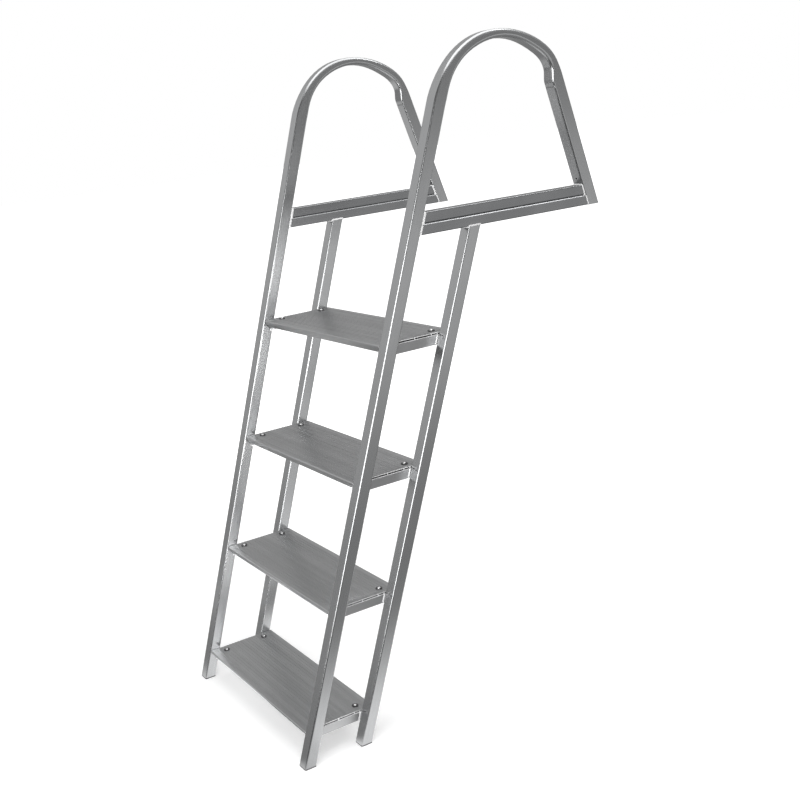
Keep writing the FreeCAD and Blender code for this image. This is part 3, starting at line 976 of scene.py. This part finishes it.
    def supports(self, side: Side) -> list[Seam]:
        """Seams between the angle bars and both stiles.

        Args:
            side: the frame.

        Returns:
            The seams.
        """
        sizes = self.sizes
        across = side.inner_face(sizes) + side.value * self.bar_inset
        seams = []
        for step in range(sizes.treads):
            high = sizes.step_top(step) - sizes.tread_thickness + self.bar_overlap
            low = high - sizes.support_leg - self.bar_overlap
            for line, way in ((sizes.front_tube_back, 1.0), (sizes.rear_tube_front, -1.0)):
                shift = way * self.bar_shift
                ends = (across, line(low) + shift, low), (across, line(high) + shift, high)
                seams.append(Seam(*ends, (side.value, way * 0.2, 0.0), *self.bar_bead))
            seams.append(self.front_end(side, step))
        return seams

    def front_end(self, side: Side, step: int) -> Seam:
        """The short seam under the angle bar's front end, on the front stile's inner face.

        Args:
            side: the frame.
            step: the tread, counted from the lowest.

        Returns:
            The seam.
        """
        sizes = self.sizes
        top = sizes.step_top(step)
        across = side.inner_face(sizes) + side.value * self.end_inset
        front, low = sizes.front_line(top), top - sizes.tread_thickness - sizes.support_leg
        ends = [(across, front + along, low + up) for along, up in self.end_run]
        return Seam(*ends, (side.value, -0.4, -0.6), *self.end_bead)

    def nosing_tacks(self, side: Side) -> list[Seam]:
        """Short seams behind the nosings' lower edges, which show on the right beside the stile.

        Args:
            side: the frame.

        Returns:
            The seams.
        """
        sizes = self.sizes
        seams = []
        for step in range(sizes.treads):
            top = sizes.step_top(step)
            place = (sizes.front_line(top) + self.tack_along, top - self.tack_drop)
            ends = [(side.inner_face(sizes) + side.value * reach, *place) for reach in self.tack_run]
            seams.append(Seam(*ends, (0.0, -0.8, -0.6), *self.tack_bead))
        return seams

    def build(self) -> None:
        """Makes every bead of both frames."""
        material = self.shop.material(WELD_FINISH)
        for side in Side:
            groups = [
                ("rail_front", self.rail_front, "tube"),
                ("rail_rear", self.rail_rear, "tube"),
                ("stile_top", self.stile_top, "tube"),
                ("supports", self.supports, "support"),
            ]
            if side is Side.RIGHT:
                groups.append(("nosings", self.nosing_tacks, "support"))
            for word, seams, slot in groups:
                beads = [self.bead(seam) for seam in seams(side)]
                piece = Workbench.merge(beads, f"weld_{word}_{side.word}")
                Workbench.fit(piece, material, slot)


@dataclass
class TreadBolts:
    """Domed bolts through the tread ends, on near-black washers whose colour is painted shade round each
    dome, with lock nuts below.

    The rim, the crown's start and its steps are shares of the head's height and radius. Edges
    that turn by less than a piece's angle, in degrees, are shaded smooth.
    """

    sizes: LadderSizes
    shop: FinishShop
    from_stile: float = 0.0255
    rows: Pair = (0.042, 0.167)
    head_radius: float = 0.0044
    head_height: float = 0.0030
    head_sides: int = 32
    crown_start: float = 0.8
    rim_round: float = 0.76
    rim_steps: int = 6
    small_steps: int = 2
    head_angle: float = 50.0
    crown_steps: tuple[Pair, Pair] = ((0.26, 0.15), (0.14, 0.05))
    washer_radius: float = 0.0086
    washer_height: float = 0.0016
    washer_round: float = 0.4
    washer_angle: float = 40.0
    nut_radius: float = 0.0072
    nut_height: float = 0.0062
    nut_bevel: float = 0.0007
    nut_sides: int = 6
    nut_angle: float = 30.0
    collar_inset: float = 0.14
    collar_height: float = 0.0016
    shank_radius: float = 0.0040
    shank_length: float = 0.0040
    shank_reach: float = 0.0050
    shank_sides: int = 20

    def disc(self, radius: float, low: float, height: float, round_off: float, segments: int) -> Piece:
        """A round piece with its upper rim rounded off.

        Args:
            radius: its radius.
            low: height of its underside.
            height: its thickness.
            round_off: how much of the rim is rounded.
            segments: steps of the rounding.

        Returns:
            The piece, in object mode.
        """
        piece = Workbench.cylinder(self.head_sides, radius, low, height)
        Workbench.pick(piece, "EDGE", lambda middle, _: middle.z > low + height - Workbench.TOUCH)
        bpy.ops.mesh.bevel(offset=round_off, segments=segments, profile=0.5, affect="EDGES")
        bpy.ops.object.mode_set(mode="OBJECT")
        return piece

    def head(self) -> Piece:
        """A domed head whose crown rises to a soft point, with its top along +Z.

        Returns:
            The head.
        """
        low, crown = self.washer_height, self.head_height * self.crown_start
        cap = self.disc(self.head_radius, low, crown, self.head_height * self.rim_round, self.rim_steps)
        Workbench.pick(cap, "FACE", lambda middle, _: middle.z > low + crown - Workbench.TOUCH)
        for inward, up in self.crown_steps:
            bpy.ops.mesh.inset(thickness=self.head_radius * inward, depth=self.head_height * up)
        Workbench.smooth(self.head_angle)
        cap.name = "bolt_head"
        return cap

    def washer(self) -> Piece:
        """A flat ring with a rounded rim.

        Returns:
            The washer.
        """
        height = self.washer_height
        ring = self.disc(self.washer_radius, 0.0, height, height * self.washer_round, self.small_steps)
        Workbench.smooth(self.washer_angle)
        ring.name = "bolt_washer"
        return ring

    def nut(self) -> Piece:
        """A lock nut with its collar and the end of the shank, with its seat at Z = 0.

        Returns:
            The nut.
        """
        bottom = -self.nut_height
        block = Workbench.cylinder(self.nut_sides, self.nut_radius, bottom, self.nut_height)
        Workbench.pick(block, "VERT", lambda place, _: place.z < bottom + Workbench.TOUCH)
        bpy.ops.mesh.bevel(offset=self.nut_bevel, affect="VERTICES")
        Workbench.pick(block, "FACE", lambda _, normal: normal.z < -Workbench.ALIGNED)
        bpy.ops.mesh.inset(thickness=self.nut_radius * self.collar_inset, depth=0.0)
        bpy.ops.mesh.extrude_region_move(
            TRANSFORM_OT_translate={"value": (0.0, 0.0, -self.collar_height)}
        )
        Workbench.smooth(self.nut_angle)
        tip = bottom - self.shank_reach
        shank = Workbench.cylinder(self.shank_sides, self.shank_radius, tip, self.shank_length)
        Workbench.pick(shank, "EDGE", lambda middle, _: middle.z < tip + Workbench.TOUCH)
        bpy.ops.mesh.bevel(offset=self.nut_bevel, segments=self.small_steps, affect="EDGES")
        Workbench.smooth(self.nut_angle)
        return Workbench.merge([block, shank], "bolt_nut")

    def build(self) -> None:
        """Copies the head, the washer and the nut to every tread."""
        sizes = self.sizes
        under = sizes.tread_thickness + sizes.support_wall
        kinds = (
            ("heads", self.head(), 0.0, BOLT_FINISH),
            ("washers", self.washer(), 0.0, WASHER_SHADE_FINISH),
            ("nuts", self.nut(), -under, BOLT_FINISH),
        )
        for step in range(sizes.treads):
            top = sizes.step_top(step)
            for word, model, shift, finish in kinds:
                twins = []
                for side in Side:
                    across = side.inner_face(sizes) + side.value * self.from_stile
                    for row in self.rows:
                        twin = Workbench.copy(model, "bolt_copy")
                        place = (across, sizes.front_line(top) + row, top + shift)
                        Workbench.place(twin, Matrix.Translation(place))
                        twins.append(twin)
                piece = Workbench.merge(twins, f"tread_bolt_{word}_{step + 1}")
                Workbench.fit(piece, self.shop.material(finish), "support")
        for _, model, _, _ in kinds:
            bpy.data.objects.remove(model)


@dataclass
class SideFrames:
    """The two welded frames: bent handrail stiles, rear stiles, dock rails and foot plugs."""

    shop: FinishShop
    finishes: dict[str, Finish] = field(default_factory=lambda: {
        "handrail_stile": TUBE_FINISH,
        "rear_stile": STILE_FINISH,
        "dock_rail": RAIL_SHADE_FINISH,
        "tread_support": SUPPORT_FINISH,
        "tread_": TREAD_FINISH,
        "foot_plug": PLUG_FINISH,
    })
    cuts: dict[str, Point] = field(default_factory=lambda: {
        "tread_support": (0.0, 0.0, 1.0),
        "tread_": (1.0, 0.0, 0.0),
    })
    cut_match: float = 0.96
    cut_lowest: float = -0.5

    def dress(self) -> None:
        """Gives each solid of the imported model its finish."""
        for name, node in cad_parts.items():
            finish = next(value for key, value in self.finishes.items() if name.startswith(key))
            material = self.shop.material(finish)
            if not node.material_slots:
                node.data.materials.append(material)
            for slot in node.material_slots:
                slot.material = material
            self.paint_cut_highlights(name, node)
            LOG.info("solid %s: %s", name, finish.name)

    def paint_cut_highlights(self, name: str, node: Piece) -> None:
        """Paints the sawn bar edges and tread ends near white: partly bare sawn metal, partly a painted
        highlight along these edges.

        Args:
            name: the solid's name.
            node: its object.
        """
        way = next((value for key, value in self.cuts.items() if name.startswith(key)), None)
        if way is None:
            return
        node.data.materials.append(self.shop.material(CUT_HIGHLIGHT_FINISH))
        last = len(node.data.materials) - 1
        for face in node.data.polygons:
            if abs(face.normal.dot(Vector(way))) > self.cut_match and face.normal.z > self.cut_lowest:
                face.material_index = last


@dataclass(frozen=True)
class SoftLamp:
    """A soft rectangular lamp: size is its width and height, and a face of level 1 is white."""

    name: str
    place: Point
    facing: Point
    up: Point
    size: Pair
    level: float

    def hang(self) -> None:
        """Adds the lamp to the scene."""
        width, height = self.size
        data = bpy.data.lights.new(self.name, "AREA")
        data.shape = "RECTANGLE"
        data.size, data.size_y = width, height
        data.energy = self.level * math.pi * width * height
        lamp = bpy.data.objects.new(self.name, data)
        bpy.context.scene.collection.objects.link(lamp)
        back = -Vector(self.facing).normalized()
        across = Vector(self.up).cross(back).normalized()
        turn = Matrix((across, back.cross(across), back)).transposed().to_4x4()
        lamp.matrix_world = Matrix.Translation(self.place) @ turn


SOFTBOXES = (
    SoftLamp("front_softbox", (1.35, -2.25, 0.15), (-0.585, 0.811, 0.0), (0.0, 0.0, 1.0), (2.7, 1.3), 4.4),
    SoftLamp("low_softbox", (0.904, -2.572, -0.70), (-0.585, 0.811, 0.0), (0.0, 0.0, 1.0), (1.6, 0.4), 4.4),
    SoftLamp("ceiling_softbox", (-0.1, 0.4, 2.6), (0.0, 0.0, -1.0), (0.0, 1.0, 0.0), (3.6, 3.6), 1.8),
    SoftLamp("rear_softbox", (0.74, 2.25, 2.5), (-0.2, -0.66, -0.7), (1.0, 0.0, 0.0), (0.9, 0.6), 6.0),
)


@dataclass
class Studio:
    """Pale floor, white surround, soft lamps and the camera.

    The camera sees the floor and the surround white. The metal mirrors them painted in soft
    zones: the pool lies round the feet, with a gap in it, and the floor is brighter far to the
    right, to the left and at the front left corner. The flag darkens what lies toward the front
    lamp, apart from a streak, and on the floor that direction is counted from the middle of the
    feet. Steps on the floor are in metres, and those of the surround are shares of a direction.
    The bounce fields hold a number for each tread, from the lowest: how far its small lamp is
    moved forward and down from the place that mirrors, and how high it is.
    """

    sizes: LadderSizes
    camera_place: Point = (1.90595, -1.72970, 0.26868)
    camera_turn: Point = (66.6928, 6.2534, 61.0499)
    lens: float = 45.695
    sensor: float = 36.0
    shift: Pair = (0.16425, 0.19686)
    clip: Pair = (0.05, 100.0)
    floor_size: float = 60.0
    floor_colour: Colour = (0.82, 0.82, 0.82)
    floor_white: SoftStep = SoftStep(0.3, 2.6, 0.30, 1.0)
    floor_level: float = 0.36
    pool_x: Pair = (-0.50, 0.08)
    pool_y: Pair = (-0.70, 0.0)
    pool_stretch: float = 2.2
    pool_fade: SoftStep = SoftStep(0.0, 0.55, 1.0, 0.0)
    pool_level: float = 1.05
    gap_left: SoftStep = SoftStep(-0.36, -0.26)
    gap_right: SoftStep = SoftStep(-0.08, -0.01, 1.0, 0.0)
    right_floor: SoftStep = SoftStep(1.2, 4.5, 0.0, 0.44)
    left_floor: SoftStep = SoftStep(-1.8, -1.5, 0.45, 0.0)
    left_front: SoftStep = SoftStep(-2.0, -1.4)
    left_rear: SoftStep = SoftStep(-0.3, 0.4, 1.0, 0.0)
    corner_slope: float = 1.15
    corner_edge: SoftStep = SoftStep(0.05, 0.35)
    corner_left: SoftStep = SoftStep(-0.6, -0.35, 1.0, 0.0)
    corner_floor: SoftStep = SoftStep(-2.7, -2.1, 0.75, 0.0)
    corner_wall: float = 0.5
    walls: SoftStep = SoftStep(-0.5, 0.5, 0.58, 0.27)
    upper_walls: SoftStep = SoftStep(-0.5, 0.5, 0.76, 0.48)
    wall_height: Pair = (0.0, 0.30)
    fill: float = 0.45
    lamp_way: Pair = (0.585, -0.811)
    feet_middle: float = -0.65
    feet_reach: float = 0.05
    flag: SoftStep = SoftStep(0.42, 0.60, 1.0, 0.2)
    streak: SoftStep = SoftStep(0.95, 0.98, 0.0, 0.7)
    streak_start: SoftStep = SoftStep(0.9, 2.0)
    panel_across: float = -0.03
    panel_size: Pair = (0.40, 0.525)
    panel_places: tuple[Pair, Pair] = ((-0.146, -0.85), (0.016, -0.35))
    panel_levels: Pair = (0.46, 0.22)
    step_width: float = 0.16
    bounce_forward: tuple[float, ...] = (0.075, 0.095, 0.100, 0.115)
    bounce_drop: tuple[float, ...] = (0.075, 0.020, 0.015, 0.020)
    bounce_height: tuple[float, ...] = (0.21, 0.13, 0.12, 0.10)
    step_levels: tuple[float, ...] = (9.5, 11.0, 12.0, 7.0)

    def floor(self) -> None:
        """A pale floor under the feet that shows white and keeps the soft shadow."""
        Workbench.clear()
        level = -self.sizes.dock_height - self.sizes.plug_lip
        bpy.ops.mesh.primitive_plane_add(size=self.floor_size, location=(0.0, 0.0, level))
        plane = bpy.context.object
        plane.name = "studio_floor"
        material = bpy.data.materials.new("studio_floor")
        bench = NodeBench.of(material)
        path = bench.add("ShaderNodeLightPath").outputs
        along_x, along_y, _ = bench.split(bench.add("ShaderNodeTexCoord").outputs["Object"])
        aside = bench.outside(along_x, *self.pool_x)
        away = bench.length(aside, bench.outside(along_y, *self.pool_y, self.pool_stretch))
        paint = bench.add("ShaderNodeBsdfDiffuse")
        paint.inputs["Color"].default_value = (*self.floor_colour, 1.0)
        veil = bench.add("ShaderNodeEmission")
        fade = bench.ramp(away, self.floor_white)
        bench.join(bench.product(path["Is Camera Ray"], fade), veil.inputs["Strength"])
        seen = bench.add("ShaderNodeAddShader")
        bench.join(paint.outputs[0], seen.inputs[0])
        bench.join(veil.outputs[0], seen.inputs[1])
        mirrored = bench.add("ShaderNodeEmission")
        bench.join(self.floor_glow(bench, along_x, along_y, away), mirrored.inputs["Strength"])
        both = bench.add("ShaderNodeMixShader")
        for source, target in zip((path["Is Glossy Ray"], seen.outputs[0], mirrored.outputs[0]), both.inputs):
            bench.join(source, target)
        result = bench.add("ShaderNodeOutputMaterial")
        bench.join(both.outputs[0], result.inputs["Surface"])
        plane.data.materials.append(material)
        plane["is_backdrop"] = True

    def floor_glow(self, bench: NodeBench, along_x: Socket, along_y: Socket, away: Socket) -> Socket:
        """How bright the metal mirrors a place on the floor.

        Args:
            bench: the floor's bench.
            along_x: the place's X.
            along_y: its Y.
            away: how far it lies from the pool.

        Returns:
            The strength's socket.
        """
        gap = bench.product(bench.ramp(along_x, self.gap_left), bench.ramp(along_x, self.gap_right))
        pool = bench.product(bench.ramp(away, self.pool_fade), bench.math("SUBTRACT", 1.0, gap))
        rows = bench.product(bench.ramp(along_y, self.left_front), bench.ramp(along_y, self.left_rear))
        left = bench.product(rows, bench.ramp(along_x, self.left_floor))
        corner = bench.product(self.corner(bench, along_x, along_y), bench.ramp(along_y, self.corner_floor))
        plain = bench.total(bench.ramp(along_x, self.right_floor), corner, left, self.floor_level)
        ahead = bench.math("SUBTRACT", along_y, self.feet_middle)
        toward, distance = self.toward_lamp(bench, along_x, ahead)
        share = bench.math("DIVIDE", toward, bench.total(distance, self.feet_reach))
        shaded = bench.product(plain, bench.ramp(share, self.flag))
        lit = bench.product(bench.ramp(share, self.streak), bench.ramp(distance, self.streak_start))
        return bench.total(bench.math("MULTIPLY_ADD", pool, self.pool_level, shaded), lit)

    def toward_lamp(self, bench: NodeBench, along_x: Socket, along_y: Socket) -> tuple[Socket, Socket]:
        """How far a place or a direction reaches toward the front lamp, and how long it is.

        Args:
            bench: the tree's bench.
            along_x: its X.
            along_y: its Y.

        Returns:
            The reach and the length, both level.
        """
        way_x, way_y = self.lamp_way
        reach = bench.math("MULTIPLY_ADD", along_x, way_x, bench.math("MULTIPLY", along_y, way_y))
        return reach, bench.length(along_x, along_y)

    def corner(self, bench: NodeBench, along_x: Socket, along_y: Socket) -> Socket:
        """Where the bright corner at the front left of the studio lies.

        Args:
            bench: the tree's bench.
            along_x: X of a place or a direction.
            along_y: its Y.

        Returns:
            A mask.
        """
        slant = bench.math("SUBTRACT", bench.math("MULTIPLY", along_x, self.corner_slope), along_y)
        return bench.product(bench.ramp(slant, self.corner_edge), bench.ramp(along_x, self.corner_left))

    def surround(self) -> None:
        """A white surround for the camera, with greyer walls in reflections."""
        world = bpy.data.worlds.new("studio")
        bpy.context.scene.world = world
        bench = NodeBench.of(world)
        path = bench.add("ShaderNodeLightPath").outputs
        along_x, along_y, up = bench.split(bench.add("ShaderNodeTexCoord").outputs["Generated"])
        low, high = bench.ramp(along_y, self.walls), bench.ramp(along_y, self.upper_walls)
        corner = bench.math("MULTIPLY", self.corner(bench, along_x, along_y), self.corner_wall)
        plain = bench.total(bench.ramp(up, SoftStep(*self.wall_height, low, high)), corner)
        toward, _ = self.toward_lamp(bench, along_x, along_y)
        walls = bench.product(plain, bench.ramp(toward, self.flag))
        seen = bench.math("MAXIMUM", path["Is Camera Ray"], path["Is Transmission Ray"])
        glossy = bench.product(path["Is Glossy Ray"], walls)
        rest = bench.product(bench.math("SUBTRACT", 1.0, path["Is Glossy Ray"]), self.fill)
        light = bench.add("ShaderNodeBackground")
        light.inputs["Color"].default_value = (1.0, 1.0, 1.0, 1.0)
        bench.join(bench.math("MAXIMUM", seen, bench.total(glossy, rest)), light.inputs["Strength"])
        result = bench.add("ShaderNodeOutputWorld")
        bench.join(light.outputs[0], result.inputs["Surface"])

    def bounce_place(self, step: int) -> Point:
        """Where a small lamp inside the near frame shows, by way of a tread, in the far frame's front stile.

        Args:
            step: the tread, counted from the lowest.

        Returns:
            The lamp's place.
        """
        sizes = self.sizes
        across, height = Side.LEFT.inner_face(sizes), sizes.step_top(step)
        along = sizes.front_line(height) + sizes.tube / 2
        reach = self.panel_across - across
        share = reach / (self.camera_place[0] - across)
        drop = (self.camera_place[2] - height) * share
        return (
            self.panel_across,
            along + (along - self.camera_place[1]) * share - self.bounce_forward[step],
            height + drop - self.bounce_drop[step],
        )

    def lamps(self) -> None:
        """Lamps beside the camera, overhead and behind, and small ones between the two frames."""
        for lamp in SOFTBOXES:
            lamp.hang()
        leaning = (0.0, math.sin(self.sizes.lean), math.cos(self.sizes.lean))
        panels = zip(("lower_panel", "upper_panel"), self.panel_places, self.panel_levels)
        inner = [
            (name, (self.panel_across, *place), self.panel_size, level) for name, place, level in panels
        ]
        inner += [
            (f"step_lamp_{step + 1}", self.bounce_place(step), (self.step_width, height), level)
            for step, (height, level) in enumerate(zip(self.bounce_height, self.step_levels))
        ]
        for name, place, size, level in inner:
            SoftLamp(name, place, (-1.0, 0.0, 0.0), leaning, size, level).hang()

    def camera(self) -> None:
        """The camera at the photograph's place."""
        data = bpy.data.cameras.new("camera")
        data.sensor_width = self.sensor
        data.lens = self.lens
        data.shift_x, data.shift_y = self.shift
        data.clip_start, data.clip_end = self.clip
        camera = bpy.data.objects.new("camera", data)
        bpy.context.scene.collection.objects.link(camera)
        camera.location = self.camera_place
        camera.rotation_euler = tuple(math.radians(angle) for angle in self.camera_turn)
        bpy.context.scene.camera = camera

    def build(self) -> None:
        """Makes the whole studio."""
        self.floor()
        self.surround()
        self.lamps()
        self.camera()
        bpy.context.scene.view_settings.view_transform = "Standard"


def main() -> None:
    """Builds the ladder's looks and its studio."""
    logging.basicConfig(level=logging.INFO, format="%(name)s: %(message)s")
    sizes = LadderSizes()
    shop = FinishShop(Effects(sizes))
    SideFrames(shop).dress()
    WeldBeads(sizes, shop).build()
    TreadBolts(sizes, shop).build()
    Studio(sizes).build()
    bpy.context.view_layer.update()
    boxes = {"cad": SOLIDS_BOX, "visual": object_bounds()}
    {key: [list(corner) for corner in box] for key, box in boxes.items()}


if __name__ == "__main__":
    main()
